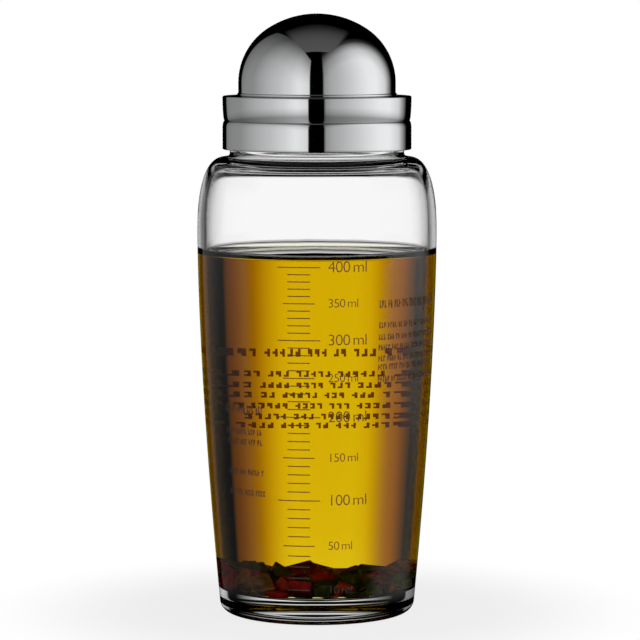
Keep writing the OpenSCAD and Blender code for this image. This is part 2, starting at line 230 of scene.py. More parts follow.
class ShakerColours(bpy.types.PropertyGroup):
    """Colours of the finishes, where a dark and a light one are the ends of a mottling"""

    glass: colour("Glass", "Tint of the glass", "#FDFDFD")
    oil: colour("Oil", "Tint of a thin layer of the oil", "#FCF8BC")
    oil_density: FloatProperty(
        name="Oil density", description="Layers of that tint to a metre of oil", default=181.5
    )
    red_pepper_dark: colour("Red pepper, dark", "Dark of the red pepper", "#6A0A0C")
    red_pepper_light: colour("Red pepper, light", "Light of the red pepper", "#CC2028")
    # Partly painted shade: the green pepper's two colours are the pepper's own green, made darker so
    # that its pieces also stand for the shade in the heap of dice
    green_pepper_and_shade_dark: colour("Green pepper, dark", "Dark of the green pepper", "#161E0A")
    green_pepper_and_shade_light: colour("Green pepper, light", "Light of the green pepper", "#505A22")
    onion_dark: colour("Onion, dark", "Dark of the onion, steeped in oil", "#5A2C14")
    onion_light: colour("Onion, light", "Light of the onion, steeped in oil", "#A87440")
    enamel_dark: colour("Enamel, dark", "Dark of the print", "#6A6860")
    enamel_light: colour("Enamel, light", "Light of the print", "#84827A")
    enamel_film: colour("Enamel film", "What the film lets through", "#DDBF99")
    steel: colour("Steel", "Polished steel", "#E6E7E8")
    sheet: colour("Sheet", "Steel sheet of the strainer", "#CDCED0")
    plastic_dark: colour("Plastic, dark", "Dark of the moulded plastic", "#26272A")
    plastic_light: colour("Plastic, light", "Light of the moulded plastic", "#323337")
    silicone: colour("Silicone", "Milky silicone of the seals", "#DDE0DF")
    floor: colour("Floor", "Matt floor of the studio", "#F4F4F2")


# Materials


def add_node(tree, kind, inputs=None, **settings):
    """Adds a node with its settings, and sets or links its inputs, named or numbered."""
    node = tree.nodes.new(kind)
    for name, value in settings.items():
        setattr(node, name, value)
    for key, value in (inputs or {}).items():
        socket = node.inputs[key]
        if isinstance(value, bpy.types.NodeSocket):
            tree.links.new(value, socket)
        elif socket.type == "RGBA" and len(value) == 3:
            socket.default_value = (*value, 1)
        else:
            socket.default_value = value
    return node


def output_of(tree, kind, inputs=None, **settings):
    """The result of a node that add_node adds, which is its first output in use."""
    node = add_node(tree, kind, inputs, **settings)
    return next(socket for socket in node.outputs if socket.enabled)


def new_material(name):
    """An empty node material, which the caller fills and finishes."""
    material = bpy.data.materials.new(name)
    material.use_nodes = True
    material.node_tree.nodes.clear()
    return material, material.node_tree


def finish_material(material, **sockets):
    """Ends a material in its output, given a Surface and, if it has one, a Volume."""
    add_node(material.node_tree, "ShaderNodeOutputMaterial", sockets)
    return material


def relief(tree, size, depth, detail=3.0):
    """Normals of a surface with an even random grain, about size across and up to depth high."""
    place = add_node(tree, "ShaderNodeTexCoord").outputs["Object"]
    grain = output_of(tree, "ShaderNodeTexNoise", {"Vector": place, "Scale": 1 / size, "Detail": detail})
    return output_of(tree, "ShaderNodeBump", {"Height": grain, "Distance": depth})


def soda_lime_glass(colours):
    """Soda-lime glass, pressed in a mould: clear, with a faint waviness that the eye sees as
    lines that wander a little where it bends the light. It mirrors the studio where it is seen at
    a slant, and seen square on it only lets light through."""
    material, tree = new_material("soda_lime_glass")
    waves = relief(tree, 14 * MM, 0.05 * MM, detail=1.5)
    mirroring = output_of(
        tree, "ShaderNodeBsdfPrincipled",
        {"Base Color": colours.glass, "Roughness": 0.0, "IOR": GLASS_IOR, "Transmission Weight": 1.0,
         "Normal": waves},
    )
    clear = output_of(
        tree, "ShaderNodeBsdfRefraction",
        {"Color": colours.glass, "Roughness": 0.0, "IOR": GLASS_IOR, "Normal": waves},
    )
    facing = add_node(tree, "ShaderNodeLayerWeight", {"Blend": 0.5, "Normal": waves}).outputs["Facing"]
    slant = output_of(
        tree, "ShaderNodeMapRange", {"Value": facing, "From Min": 0.15, "From Max": 0.24},
        interpolation_type="SMOOTHSTEP",
    )
    faces = output_of(tree, "ShaderNodeMixShader", {0: slant, 1: clear, 2: mirroring})
    return finish_material(material, Surface=faces)


def wetted_glass():
    """The same glass where the oil wets it: oil bends light almost as glass does, so the face
    bends light and mirrors none."""
    material, tree = new_material("soda_lime_glass_wetted")
    clear = output_of(
        tree, "ShaderNodeBsdfRefraction",
        {"Color": linear("#FFFFFF"), "Roughness": 0.0, "IOR": GLASS_IOR},
    )
    return finish_material(material, Surface=clear)


def olive_oil(colours):
    """Cold-pressed oil, filtered: clear, and golden because it swallows blue and some green. Its
    free surface mirrors as any liquid does, and its face against the glass only bends light."""
    material, tree = new_material("olive_oil")
    free = output_of(
        tree, "ShaderNodeBsdfPrincipled",
        {"Base Color": linear("#FFFFFF"), "Roughness": 0.0, "IOR": OIL_IOR, "Transmission Weight": 1.0},
    )
    wetting = output_of(
        tree, "ShaderNodeBsdfRefraction", {"Color": linear("#FFFFFF"), "Roughness": 0.0, "IOR": OIL_IOR}
    )
    share = add_node(tree, "ShaderNodeAttribute", attribute_name=FREE_SURFACE).outputs["Fac"]
    faces = output_of(tree, "ShaderNodeMixShader", {0: share, 1: wetting, 2: free})
    body = output_of(
        tree, "ShaderNodeVolumeAbsorption", {"Color": colours.oil, "Density": colours.oil_density}
    )
    return finish_material(material, Surface=faces, Volume=body)


def polished_steel(colours):
    """Stainless steel, deep-drawn and mirror polished: the eye sees the studio in it, softened
    by a haze of fine polishing marks, which are drawn 0.4 mm across so that they show."""
    material, tree = new_material("mirror_polished_stainless_steel")
    place = add_node(tree, "ShaderNodeTexCoord").outputs["Object"]
    haze = output_of(tree, "ShaderNodeTexNoise", {"Vector": place, "Scale": 1 / (9 * MM), "Detail": 4.0})
    rough = output_of(
        tree, "ShaderNodeMapRange",
        {"Value": haze, "From Min": 0.3, "From Max": 0.7, "To Min": 0.02, "To Max": 0.05},
    )
    shader = output_of(
        tree, "ShaderNodeBsdfPrincipled",
        {"Base Color": colours.steel, "Metallic": 1.0, "Roughness": rough,
         "Normal": relief(tree, 0.4 * MM, 0.0002 * MM)},
    )
    return finish_material(material, Surface=shader)


def punched_steel(colours):
    """Stainless sheet, rolled and punched: a satin grain that runs one way. Its lines are drawn a
    quarter of a millimetre apart, which is coarser than they are, so that they show."""
    material, tree = new_material("rolled_stainless_sheet")
    place = add_node(tree, "ShaderNodeTexCoord").outputs["Object"]
    drawn = output_of(tree, "ShaderNodeMapping", {"Vector": place, "Scale": (0.05, 1, 1)})
    grain = output_of(
        tree, "ShaderNodeTexNoise", {"Vector": drawn, "Scale": 1 / (0.25 * MM), "Detail": 4.0}
    )
    rough = output_of(
        tree, "ShaderNodeMapRange",
        {"Value": grain, "From Min": 0.3, "From Max": 0.7, "To Min": 0.2, "To Max": 0.35},
    )
    raised = output_of(tree, "ShaderNodeBump", {"Height": grain, "Distance": 0.004 * MM})
    shader = output_of(
        tree, "ShaderNodeBsdfPrincipled",
        {"Base Color": colours.sheet, "Metallic": 1.0, "Roughness": rough, "Normal": raised},
    )
    return finish_material(material, Surface=shader)


def moulded_abs(colours):
    """ABS, injection moulded in a spark-eroded tool: dark, satin, with a fine even grain, drawn
    coarser than it is, at 0.3 mm, so that it shows."""
    material, tree = new_material("moulded_black_abs")
    place = add_node(tree, "ShaderNodeTexCoord").outputs["Object"]
    patches = output_of(
        tree, "ShaderNodeTexNoise", {"Vector": place, "Scale": 1 / (12 * MM), "Detail": 2.0}
    )
    tone = output_of(
        tree, "ShaderNodeMix",
        {"Factor": patches, "A": colours.plastic_dark, "B": colours.plastic_light},
        data_type="RGBA",
    )
    shader = output_of(
        tree, "ShaderNodeBsdfPrincipled",
        {"Base Color": tone, "Roughness": 0.38, "IOR": 1.54,
         "Normal": relief(tree, 0.3 * MM, 0.01 * MM, detail=2.0)},
    )
    return finish_material(material, Surface=shader)


def moulded_silicone(colours):
    """Silicone rubber, moulded: milky, lets light in, and its skin is matt with a soft sheen. Its
    grain is drawn coarse, at 0.8 mm, so that it shows."""
    material, tree = new_material("moulded_clear_silicone")
    shader = output_of(
        tree, "ShaderNodeBsdfPrincipled",
        {"Base Color": colours.silicone, "Roughness": 0.42, "IOR": 1.41, "Transmission Weight": 0.35,
         "Normal": relief(tree, 0.8 * MM, 0.02 * MM)},
    )
    return finish_material(material, Surface=shader)


def fired_enamel(colours):
    """Ceramic enamel, screen printed and fired on: a thin grey film, a little uneven, that lets some
    of the light behind it through. The screen's mesh is drawn coarse, at 0.35 mm, so that it shows."""
    material, tree = new_material("screen_printed_enamel")
    place = add_node(tree, "ShaderNodeTexCoord").outputs["Object"]
    screen = output_of(
        tree, "ShaderNodeTexNoise", {"Vector": place, "Scale": 1 / (0.35 * MM), "Detail": 2.0}
    )
    tone = output_of(
        tree, "ShaderNodeMix", {"Factor": screen, "A": colours.enamel_dark, "B": colours.enamel_light},
        data_type="RGBA",
    )
    raised = output_of(tree, "ShaderNodeBump", {"Height": screen, "Distance": 0.01 * MM})
    pigment = output_of(
        tree, "ShaderNodeBsdfPrincipled",
        {"Base Color": tone, "Roughness": 0.55, "IOR": 1.5, "Normal": raised},
    )
    glaze = output_of(tree, "ShaderNodeBsdfTransparent", {"Color": colours.enamel_film})
    film = output_of(tree, "ShaderNodeMixShader", {0: 0.4, 1: glaze, 2: pigment})
    return finish_material(material, Surface=film)


def vegetable(name, dark, light, size):
    """Cut vegetable, wet with oil: mottled flesh, glossy where the oil wets it."""
    material, tree = new_material(name)
    place = add_node(tree, "ShaderNodeTexCoord").outputs["Object"]
    mottle = output_of(
        tree, "ShaderNodeTexNoise",
        {"Vector": place, "Scale": 1 / size, "Detail": 5.0, "Roughness": 0.6, "Distortion": 0.4},
    )
    share = output_of(tree, "ShaderNodeMapRange", {"Value": mottle, "From Min": 0.35, "From Max": 0.65})
    tone = output_of(
        tree, "ShaderNodeMix", {"Factor": share, "A": dark, "B": light}, data_type="RGBA"
    )
    shader = output_of(
        tree, "ShaderNodeBsdfPrincipled",
        {"Base Color": tone, "Roughness": 0.3, "IOR": 1.45, "Normal": relief(tree, 0.5 * MM, 0.08 * MM)},
    )
    return finish_material(material, Surface=shader)


# Mesh helpers


def deselect():
    """Leaves edit mode and deselects every object."""
    if bpy.context.object and bpy.context.object.mode != "OBJECT":
        bpy.ops.object.mode_set(mode="OBJECT")
    bpy.ops.object.select_all(action="DESELECT")


def activate(piece):
    """Makes a piece the only one selected, in object mode."""
    deselect()
    piece.select_set(True)
    bpy.context.view_layer.objects.active = piece


def arc(center_r, center_z, radius, from_deg, to_deg, steps):
    """Points on an arc of an outline."""
    angles = [(from_deg + (to_deg - from_deg) * i / steps) * DEG for i in range(steps + 1)]
    return [(center_r + radius * math.cos(a), center_z + radius * math.sin(a)) for a in angles]


def run(start, end, steps):
    """Points on a straight stretch of an outline, without its ends."""
    return [
        (start[0] + (end[0] - start[0]) * i / steps, start[1] + (end[1] - start[1]) * i / steps)
        for i in range(1, steps)
    ]


def apply_modifier(piece, kind, **settings):
    """Adds a modifier with its settings and applies it."""
    activate(piece)
    modifier = piece.modifiers.new(kind.title(), kind)
    for name, value in settings.items():
        setattr(modifier, name, value)
    bpy.ops.object.modifier_apply(modifier=modifier.name)


def draw_line(points):
    """A line through (radius, height) points, as a new piece in edit mode with all of it selected."""
    deselect()
    bpy.ops.mesh.primitive_plane_add(size=1 * MM, enter_editmode=True, location=(0, 0, 0))
    bpy.ops.mesh.merge(type="CENTER")
    bpy.ops.transform.translate(value=(points[0][0], 0, points[0][1]))
    for (r, z), (next_r, next_z) in zip(points, points[1:]):
        bpy.ops.mesh.extrude_region_move(TRANSFORM_OT_translate={"value": (next_r - r, 0, next_z - z)})
    bpy.ops.mesh.select_all(action="SELECT")


def lathe(outline, ring=False, steps=TURN_STEPS):
    """Turns an outline of (radius, height) points about the bottle's axis. A ring's outline is
    closed, and any other starts and ends on the axis."""
    draw_line(outline + outline[:1] if ring else outline)
    bpy.ops.mesh.remove_doubles(threshold=WELD)
    bpy.ops.mesh.spin(steps=steps, angle=2 * math.pi, center=(0, 0, 0), axis=(0, 0, 1))
    bpy.ops.mesh.select_all(action="SELECT")
    bpy.ops.mesh.remove_doubles(threshold=WELD)
    bpy.ops.mesh.normals_make_consistent(inside=False)
    bpy.ops.object.mode_set(mode="OBJECT")
    return bpy.context.object


def lathe_band(edge, steps, angle):
    """Turns a line of (radius, height) points about the bottle's axis, from +X, into an open band."""
    draw_line(edge)
    bpy.ops.mesh.spin(steps=steps, angle=-angle, center=(0, 0, 0), axis=(0, 0, 1))
    bpy.ops.mesh.select_all(action="SELECT")
    bpy.ops.mesh.remove_doubles(threshold=WELD)
    bpy.ops.object.mode_set(mode="OBJECT")
    face = bpy.context.object.data.polygons[0]
    if face.normal.dot(face.center) < 0:
        bpy.context.object.data.flip_normals()
    return bpy.context.object


def finish_piece(piece, name, body, slot, material, *nodes, smooth_to=35 * DEG):
    """Names a piece, shades it, gives it its material and ties it to the frame."""
    activate(piece)
    if smooth_to:
        bpy.ops.object.shade_smooth_by_angle(angle=smooth_to)
    piece.name = name
    piece.data.name = name
    piece.data.materials.clear()
    piece.data.materials.append(material)
    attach(piece, body)
    if nodes:
        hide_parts(*nodes)


def turn_rings(pieces, slot, material):
    """Turns pieces of one material, each given as its name, body, CAD node, closed outline and the
    radius of its edges."""
    for name, body, node, outline, edge in pieces:
        piece = lathe(outline, ring=True)
        if edge:
            apply_modifier(
                piece, "BEVEL", width=edge, segments=2, limit_method="ANGLE", angle_limit=40 * DEG
            )
        finish_piece(piece, name, body, slot, material, node)


# Shape of the glass


def side_r(glass, z):
    """Outside radius of the side at a height up to the widest point."""
    body_r = high("glass_body").x
    share = max(0, glass.belly_z - z) / glass.belly_z
    return body_r - (body_r - glass.foot_r) * share ** glass.side_curve


def shoulder(glass, wide_r, end_r, top_z, steps):
    """Points on a rounded shoulder, from its widest height up."""
    power = 2 / glass.shoulder_power
    points = []
    for i in range(1, steps + 1):
        a = 90 * DEG * i / steps
        points.append((
            end_r + (wide_r - end_r) * max(0, math.cos(a)) ** power,
            glass.belly_z + (top_z - glass.belly_z) * math.sin(a) ** power,
        ))
    return points


def cavity_r(glass, z):
    """Inside radius of the glass at a height from the floor to the widest point."""
    h = z - low("dressing_oil").z
    heel = glass.heel_extra * (1 - min(1, h / glass.heel_extra_h) ** 3)
    edge = 0
    if h < glass.floor_radius:
        edge = glass.floor_radius - math.sqrt(glass.floor_radius ** 2 - (glass.floor_radius - h) ** 2)
    return side_r(glass, z) - glass.wall - heel - edge


def cavity_points(glass, top_z):
    """Inside of the glass from the middle of the floor up to a height."""
    floor_z = low("dressing_oil").z
    edge = [floor_z + glass.floor_radius * (1 - math.cos(a * DEG)) for a in range(0, 90, 6)]
    start_z = floor_z + glass.floor_radius
    step = (top_z - start_z) / CAVITY_STEPS
    heights = edge + [start_z + step * i for i in range(CAVITY_STEPS + 1)]
    points = [(cavity_r(glass, z), z) for z in heights]
    return [(0, floor_z)] + run((0, floor_z), points[0], 6) + points


def moved_out(points, distance):
    """An outline that starts on the axis, moved square to itself, away from what it holds."""
    moved = []
    for i, (r, z) in enumerate(points):
        before, after = points[max(0, i - 1)], points[min(len(points) - 1, i + 1)]
        along_r, along_z = after[0] - before[0], after[1] - before[1]
        size = math.hypot(along_r, along_z)
        moved.append((r + distance * along_z / size, z - distance * along_r / size))
    return [(0, moved[0][1])] + moved[1:]


def glass_outline(glass):
    """The glass from the middle of its underside, up the outside and down the inside to the floor."""
    body_r, rim_z = high("glass_body").x, high("glass_body").z
    shoulder_z = glass.belly_z + glass.shoulder_h
    heel_rise = side_r(glass, 2 * glass.heel_radius) - side_r(glass, glass.heel_radius)
    heel_end = -math.atan(heel_rise / glass.heel_radius) / DEG
    heel_end_z = glass.heel_radius * (1 + math.sin(heel_end * DEG))
    heel_r = side_r(glass, heel_end_z) - glass.heel_radius * math.cos(heel_end * DEG)
    punt_r = heel_r - glass.foot_ring_w
    dish_r = (punt_r ** 2 + glass.punt_h ** 2) / (2 * glass.punt_h)
    dish_end = 90 - math.asin(punt_r / dish_r) / DEG
    bore_r = glass.neck_r - glass.neck_wall
    bore_fillet = glass.neck_wall + glass.neck_fillet
    end_r = glass.neck_r + glass.neck_fillet
    inner_z = shoulder_z - glass.wall
    side_steps = 40
    side = [heel_end_z + (glass.belly_z - heel_end_z) * i / side_steps for i in range(1, side_steps + 1)]
    neck_start = (glass.neck_r, shoulder_z + glass.neck_fillet)
    neck_end = (glass.neck_r, rim_z - glass.rim_radius)
    bore_start = (bore_r, rim_z - glass.rim_radius)
    bore_end = (bore_r, inner_z + bore_fillet)
    inner = shoulder(glass, body_r - glass.wall, end_r, inner_z, 22)
    wetted = cavity_points(glass, high("dressing_oil").z)
    return (
        arc(0, glass.punt_h - dish_r, dish_r, 90, dish_end, 14)
        + run((punt_r, 0), (heel_r, 0), 3)
        + arc(heel_r, glass.heel_radius, glass.heel_radius, -90, heel_end, 16)
        + [(side_r(glass, z), z) for z in side]
        + shoulder(glass, body_r, end_r, shoulder_z, 24)
        + arc(end_r, shoulder_z + glass.neck_fillet, glass.neck_fillet, -90, -180, 8)[1:]
        + run(neck_start, neck_end, 5)
        + arc(glass.neck_r - glass.rim_radius, rim_z - glass.rim_radius, glass.rim_radius, 0, 90, 6)
        + arc(bore_r + glass.rim_radius, rim_z - glass.rim_radius, glass.rim_radius, 90, 180, 6)
        + run(bore_start, bore_end, 4)
        + arc(end_r, inner_z + bore_fillet, bore_fillet, -180, -90, 12)[:-1]
        + inner[::-1]
        + [(body_r - glass.wall, glass.belly_z)]
        + run((body_r - glass.wall, glass.belly_z), wetted[-1], 3)
        + wetted[::-1]
    )


def meniscus(capillary, steps):
    """Points of a wetting liquid's meniscus: how far each is from the wall and above the level."""
    top = math.sqrt(2) * capillary

    def reach(climb):
        return capillary * (math.acosh(2 * capillary / climb) - math.sqrt(4 - (climb / capillary) ** 2))

    climbs = [top * (1 - i / steps) ** 2 for i in range(steps)]
    return [(reach(climb) - reach(top), climb) for climb in climbs]


def oil_outline(glass, dressing):
    """The oil, whose wetted edge is as high as the top of its CAD solid."""
    top_z = high("dressing_oil").z
    wall = moved_out(cavity_points(glass, top_z), dressing.lap)
    curve = meniscus(dressing.capillary, 20)
    level = top_z - curve[0][1]
    surface = [(wall[-1][0] - dressing.lap - inward, level + climb) for inward, climb in curve]
    centre = (0, level)
    return wall + surface + run(surface[-1], centre, 5) + [centre]


def tube_outer_r(plastic):
    """Outside radius of the plug tube, which holds the strainer."""
    return high("strainer_frame").x + plastic.strainer_gap + plastic.tube_wall


# Operators


class SHAKER_OT_glass(bpy.types.Operator):
    """Turn the glass carafe, with its thick base, tapered side, shoulder and neck"""

    bl_idname = "shaker.glass"
    bl_label = "Glass Carafe"

    def execute(self, context):
        glass, colours = context.scene.shaker_glass, context.scene.shaker_colours
        piece = lathe(glass_outline(glass), steps=CLEAR_TURN_STEPS)
        finish_piece(piece, "carafe", "bottle", "clear_glass", soda_lime_glass(colours), "glass_body")
        self.wet(piece, glass)
        return {"FINISHED"}

    def wet(self, piece, glass):
        """Gives the inside of the glass, up to the oil's edge, its wetted material."""
        piece.data.materials.append(wetted_glass())
        floor_z, top_z = low("dressing_oil").z, high("dressing_oil").z
        for face in piece.data.polygons:
            z = face.center.z
            if floor_z - WELD < z < top_z and face.center.xy.length < side_r(glass, z) - glass.wall / 2:
                face.material_index = 1


class SHAKER_OT_oil(bpy.types.Operator):
    """Fill the carafe with oil, which climbs a little where it meets the glass"""

    bl_idname = "shaker.oil"
    bl_label = "Oil"

    def execute(self, context):
        scene = context.scene
        piece = lathe(oil_outline(scene.shaker_glass, scene.shaker_dressing), steps=CLEAR_TURN_STEPS)
        material = olive_oil(scene.shaker_colours)
        finish_piece(piece, "olive_oil", "bottle", "dressing_oil", material, "dressing_oil")
        free = piece.data.attributes.new(FREE_SURFACE, "FLOAT", "FACE")
        least_up = 0.01
        for face in piece.data.polygons:
            free.data[face.index].value = 1 if face.normal.z > least_up else 0
        return {"FINISHED"}


class SHAKER_OT_dice(bpy.types.Operator):
    """Cut the vegetable dice on the floor of the carafe into tilted, uneven pieces"""

    bl_idname = "shaker.dice"
    bl_label = "Vegetable Dice"

    def execute(self, context):
        colours = context.scene.shaker_colours
        kinds = (
            ("red_pepper", colours.red_pepper_dark, colours.red_pepper_light, 4 * MM),
            # The green pepper's colours hold painted shade of the heap as well as the pepper's green
            ("green_pepper", colours.green_pepper_and_shade_dark, colours.green_pepper_and_shade_light, 4 * MM),
            ("onion", colours.onion_dark, colours.onion_light, 3 * MM),
        )
        draw = random.Random(context.scene.shaker_dressing.seed)
        for kind, dark, light, size in kinds:
            node = kind + "_dice"
            piece = self.cut(frame["nodes"][node])
            self.shape(piece, context.scene, draw)
            material = vegetable(kind + "_flesh", dark, light, size)
            finish_piece(piece, kind + "_pieces", "bottle", kind, material, node, smooth_to=25 * DEG)
        return {"FINISHED"}

    def cut(self, node):
        """A copy of the CAD node's blocks, with a mesh of its own, that isn't a CAD node."""
        activate(node)
        bpy.ops.object.duplicate()
        piece = bpy.context.object
        for key in [key for key in piece.keys() if key.startswith("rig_")]:
            del piece[key]
        bpy.ops.object.parent_clear(type="CLEAR_KEEP_TRANSFORM")
        bpy.ops.object.mode_set(mode="EDIT")
        bpy.ops.mesh.select_all(action="SELECT")
        bpy.ops.mesh.remove_doubles(threshold=WELD)
        bpy.ops.mesh.tris_convert_to_quads()
        bpy.ops.object.mode_set(mode="OBJECT")
        return piece

    def blocks(self, mesh):
        """The corners of each block, as lists of vertex numbers: corners that an edge joins are of
        one block, and each block is known by its first corner."""
        block_of = list(range(len(mesh.vertices)))

        def first_corner(i):
            while block_of[i] != i:
                i = block_of[i]
            return i

        for edge in mesh.edges:
            a, b = (first_corner(i) for i in edge.vertices)
            block_of[max(a, b)] = min(a, b)
        found = {}
        for i in range(len(mesh.vertices)):
            found.setdefault(first_corner(i), []).append(i)
        return list(found.values())

    def shape(self, piece, scene, draw):
        """Grows, tilts, roughens and settles each block, and keeps all of it inside the glass."""
        dressing = scene.shaker_dressing
        floor_z = low("dressing_oil").z
        seed_count = 1000
        mesh = piece.data
        for corners in self.blocks(mesh):
            for part in (*mesh.vertices, *mesh.edges, *mesh.polygons):
                part.select = False
            for i in corners:
                mesh.vertices[i].select = True
            middle = sum((mesh.vertices[i].co for i in corners), Vector()) / len(corners)
            turns = [draw.uniform(-dressing.tilt, dressing.tilt) for axis in "XYZ"]
            sizes = [
                dressing.growth * draw.uniform(dressing.smallest, dressing.largest) for axis in "XYZ"
            ]
            bpy.ops.object.mode_set(mode="EDIT")
            bpy.ops.transform.resize(value=sizes, center_override=middle)
            for axis, turn in zip("XYZ", turns):
                bpy.ops.transform.rotate(
                    value=turn, orient_axis=axis, orient_type="GLOBAL", center_override=middle
                )
            bpy.ops.transform.vertex_random(offset=dressing.unevenness, seed=draw.randrange(seed_count))
            drop = (middle.z - floor_z) * (dressing.settling - 1)
            bpy.ops.transform.translate(value=(0, 0, drop))
            bpy.ops.object.mode_set(mode="OBJECT")
        self.keep_inside(piece, scene.shaker_glass, floor_z)
        apply_modifier(piece, "BEVEL", width=0.3 * MM, segments=1, limit_method="ANGLE")

    def keep_inside(self, piece, glass, floor_z):
        """Moves corners that would touch the floor or the side a little way off them."""
        floor_gap, side_gap = 0.3 * MM, 0.4 * MM
        for vertex in piece.data.vertices:
            vertex.co.z = max(vertex.co.z, floor_z + floor_gap)
            reach = vertex.co.xy.length
            room = cavity_r(glass, vertex.co.z) - side_gap
            if reach > room:
                vertex.co.x *= room / reach
                vertex.co.y *= room / reach


class SHAKER_OT_print(bpy.types.Operator):
    """Print the numerals of the volume scale on the glass and colour its lines"""

    bl_idname = "shaker.print"
    bl_label = "Scale and Print"

    def execute(self, context):
        scene = context.scene
        settings = scene.shaker_print
        enamel = fired_enamel(scene.shaker_colours)
        frame["nodes"]["volume_marks"].material_slots[0].material = enamel
        for volume, z in self.labels():
            size = settings.hundreds_h if volume % 100 == 0 else settings.fifties_h
            piece = self.numeral(f"{volume} ml", size, settings, z)
            self.wrap(piece)
            self.finish(piece, f"numeral_{volume}_ml", settings, enamel)
        draw = random.Random(settings.seed)
        for name, start, end, heights in self.blocks():
            rows = [
                self.row(scene, draw, start, end, z * MM, i == 0) for i, z in enumerate(heights)
            ]
            activate(rows[0])
            for row in rows[1:]:
                row.select_set(True)
            bpy.ops.object.join()
            self.finish(rows[0], name, settings, enamel)
        return {"FINISHED"}

    def finish(self, piece, name, settings, enamel):
        """Gives a film of print its thickness, outwards, and its enamel."""
        apply_modifier(piece, "SOLIDIFY", thickness=settings.enamel_t, offset=1.0)
        finish_piece(piece, name, "bottle", "scale_enamel", enamel, smooth_to=0)

    def blocks(self):
        """Name, first and last azimuth in degrees to the right of the front, and heights of the
        rows in millimetres, of each block of ruled print."""
        return (
            ("ruled_print_right", 31, 77, (106.2, 99.3, 95.4, 92, 88.4, 85.6, 81.6)),
            ("ruled_print_left", -52, -27, (71.5, 64, 60.6, 50.6, 43.8)),
            ("ruled_print_back", 164, 197, (86.6, 79.5, 75.7, 72.4, 68.8, 65.2, 62.2)),
        )

    def row(self, scene, draw, start, end, z, is_title):
        """A row of strokes, with gaps like those between words, laid on the glass at height z."""
        settings = scene.shaker_print
        size = settings.title_h if is_title else settings.row_h
        radius = side_r(scene.shaker_glass, z) + PRINT_GAP
        slope = (side_r(scene.shaker_glass, z + size) - side_r(scene.shaker_glass, z)) / size
        bands = 3
        shares = [i / bands - 0.5 for i in range(bands + 1)]
        edge = [(radius + slope * size * share, z + size * share) for share in shares]
        width = (end - start) * DEG
        columns = round(width * radius / settings.stroke)
        piece = lathe_band(edge, columns, width)
        kept = self.strokes(draw, columns, bands)
        activate(piece)
        bpy.ops.object.mode_set(mode="EDIT")
        bpy.ops.mesh.select_mode(type="FACE")
        bpy.ops.mesh.select_all(action="DESELECT")
        bpy.ops.object.mode_set(mode="OBJECT")
        for face in piece.data.polygons:
            turn = math.atan2(face.center.y, face.center.x) % (2 * math.pi)
            column = min(columns - 1, int(turn / width * columns))
            band = min(bands - 1, max(0, int((face.center.z - edge[0][1]) / size * bands)))
            face.select = (column, band) not in kept
        bpy.ops.object.mode_set(mode="EDIT")
        bpy.ops.mesh.delete(type="FACE")
        bpy.ops.mesh.select_mode(type="VERT")
        bpy.ops.mesh.select_all(action="SELECT")
        bpy.ops.transform.rotate(
            value=-(start - 90) * DEG, orient_axis="Z", orient_type="GLOBAL", center_override=(0, 0, 0)
        )
        bpy.ops.object.mode_set(mode="OBJECT")
        return piece

    def strokes(self, draw, columns, bands):
        """The cells of a row that are printed, as column and band. A sign is an upright stroke, then
        one or two bars, then a gap, and two to six signs make a word."""
        sign_columns, word_gap = 3, 2
        kept = set()
        column = 0
        left_in_word = draw.randint(2, 6)
        while column + sign_columns < columns:
            kept.update((column, band) for band in range(bands))
            bars = draw.sample(range(bands), draw.choice((1, 1, 2)))
            kept.update((column + 1, band) for band in bars)
            column += sign_columns
            left_in_word -= 1
            if not left_in_word:
                column += word_gap
                left_in_word = draw.randint(2, 6)
        return kept

    def labels(self):
        """Volume in millilitres and height of each numeral, from the lines of the scale in the
        frame: a line stands for 10 ml, and the first line and every fifth have a numeral."""
        marks = frame["nodes"]["volume_marks"]
        heights = sorted({round(vertex.co.z / MM, 2) for vertex in marks.data.vertices})
        # In millimetres, as the heights are: the lines lie farther apart than least_gap
        least_gap, half_line = 1, 0.175
        lines = [heights[0]]
        for z in heights:
            if z - lines[-1] > least_gap:
                lines.append(z)
        return [
            (10 * (i + 1), (z + half_line) * MM)
            for i, z in enumerate(lines) if i == 0 or (i + 1) % 5 == 0
        ]

    def numeral(self, text, size, settings, z):
        """A flat word in front of the glass, with its middle at height z and digits of a size. A
        digit takes digit_share of the typeface's size, and thinning makes its strokes finer."""
        in_front, digit_share, thinning = 50 * MM, 0.53, 0.016
        deselect()
        bpy.ops.object.text_add(
            location=(settings.numeral_x, -in_front, z), rotation=(90 * DEG, 0, 0)
        )
        piece = bpy.context.object
        piece.data.body = text
        piece.data.size = size / digit_share
        piece.data.space_character = settings.spacing
        piece.data.space_word = 0.65
        piece.data.offset = -thinning * size
        piece.data.align_y = "CENTER"
        bpy.ops.object.convert(target="MESH")
        bpy.ops.object.transform_apply(location=True, rotation=True, scale=True)
        return bpy.context.object

    def wrap(self, piece):
        """Lays a flat piece on the glass, straight from the front."""
        apply_modifier(
            piece, "SHRINKWRAP", target=bpy.data.objects["carafe"], wrap_method="PROJECT",
            use_project_y=True, use_positive_direction=True, use_negative_direction=True,
            offset=PRINT_GAP,
        )


